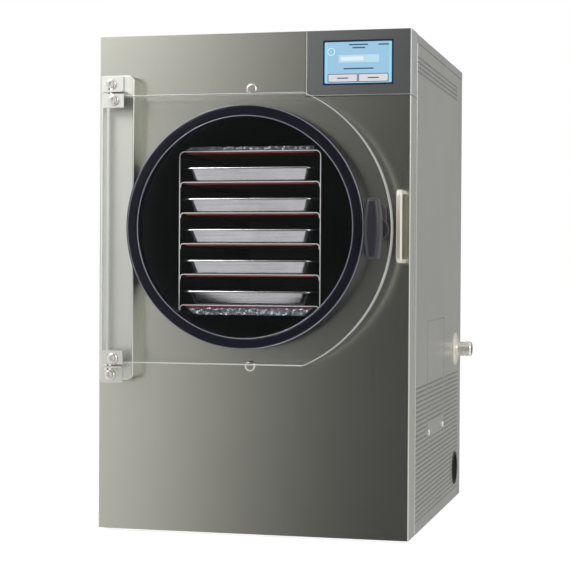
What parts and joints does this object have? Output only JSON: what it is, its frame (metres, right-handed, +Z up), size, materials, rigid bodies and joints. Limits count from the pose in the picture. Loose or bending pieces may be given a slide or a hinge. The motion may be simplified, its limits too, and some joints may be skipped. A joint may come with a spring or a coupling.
{
  "type": "freeze dryer",
  "caption": "Free-standing steel freeze dryer: round vacuum chamber with a clear hinged door and latch, heated tray rack, touch screen, side vacuum port.",
  "frame": {"origin": "centre of the footprint, door and side fitting included, on the surface the feet stand on", "axes": "+Z up, -Y out of the door, +X to the right as seen from the front"},
  "size_m": [0.537, 0.6824, 0.794],
  "materials": {
    "front_steel": "brushed stainless, vertical grain",
    "bezel_steel": "brushed stainless, darker",
    "side_steel": "brushed stainless",
    "plated_steel": "plain plated sheet",
    "screw_steel": "polished",
    "catch_steel": "polished",
    "latch_steel": "dark",
    "rubber": "matte",
    "gasket": "satin black with a blue cast",
    "black_plastic": "matte",
    "knob_plastic": "satin black",
    "screen": "lit touch screen",
    "drum_black": "black coating",
    "copper": "drawn copper",
    "foam": "cut foam",
    "drain_plastic": "clear hose",
    "pump_black": "black enamel",
    "board_green": "circuit board",
    "rack_alu": "satin sheet",
    "tray_steel": "satin stainless",
    "heater_red": "silicone heater mat",
    "foil": "crumpled foil",
    "acrylic": "clear acrylic"
  },
  "bodies": {
    "cabinet": {"base_pan": "plated_steel", "rubber_feet": "rubber", "front_panel": "front_steel", "control_bezel": "bezel_steel", "screen_glass": "screen", "screen_module": "black_plastic", "left_side_panel": "side_steel", "right_side_panel": "side_steel", "access_cover": "side_steel", "cover_screws": "screw_steel", "top_cover": "side_steel", "rear_panel": "side_steel", "cable_grommet": "rubber", "port_flange": "screw_steel", "vacuum_port": "screw_steel", "vacuum_tube": "copper", "drain_tube": "drain_plastic", "power_inlet": "black_plastic", "switch_housing": "black_plastic", "mid_deck": "plated_steel", "chamber_cradles": "plated_steel", "vacuum_drum": "drum_black", "door_gasket": "gasket", "cooling_coil": "copper", "drum_insulation": "foam", "compressor": "pump_black", "compressor_mounts": "rubber", "refrigerant_lines": "copper", "condenser_coil": "plated_steel", "fan_shroud": "plated_steel", "fan_motor": "pump_black", "control_board": "board_green", "rack_frame": "rack_alu", "heater_mats": "heater_red", "foil_blanket_top": "foil", "foil_blanket_bottom": "foil", "rack_glides": "black_plastic", "hinge_post": "front_steel", "post_brackets": "screw_steel", "panel_screws": "screw_steel", "catch_bracket": "catch_steel", "shelf_2": "rack_alu", "shelf_3": "rack_alu", "shelf_4": "rack_alu", "shelf_5": "rack_alu", "shelf_6": "rack_alu", "tray_1": "tray_steel", "tray_2": "tray_steel", "tray_3": "tray_steel", "tray_4": "tray_steel", "tray_5": "tray_steel"},
    "door": {"door_panel": "acrylic", "door_hinge_plates": "screw_steel", "hinge_pins": "screw_steel", "door_screws": "screw_steel", "handle_bushing": "black_plastic"},
    "handle": {"handle_knob": "knob_plastic", "latch_cam": "latch_steel"},
    "fan": {"fan_blades": "black_plastic"},
    "rocker": {"switch_rocker": "black_plastic"}
  },
  "joints": [
    {"name": "door_swing", "type": "hinge", "parent": "cabinet", "child": "door", "pos_m": [-0.2355, -0.2848, 0.4842], "axis": [0, 0, -1], "range_deg": [0, 150]},
    {"name": "handle_turn", "type": "hinge", "parent": "door", "child": "handle", "pos_m": [0.196, -0.2922, 0.4842], "axis": [0, 1, 0], "range_deg": [0, 90]},
    {"name": "fan_spin", "type": "hinge", "parent": "cabinet", "child": "fan", "pos_m": [0.1655, -0.0258, 0.122], "axis": [1, 0, 0], "continuous": true},
    {"name": "switch_rock", "type": "hinge", "parent": "cabinet", "child": "rocker", "pos_m": [0.1345, 0.3332, 0.665], "axis": [1, 0, 0], "range_deg": [0, 16]}
  ]
}
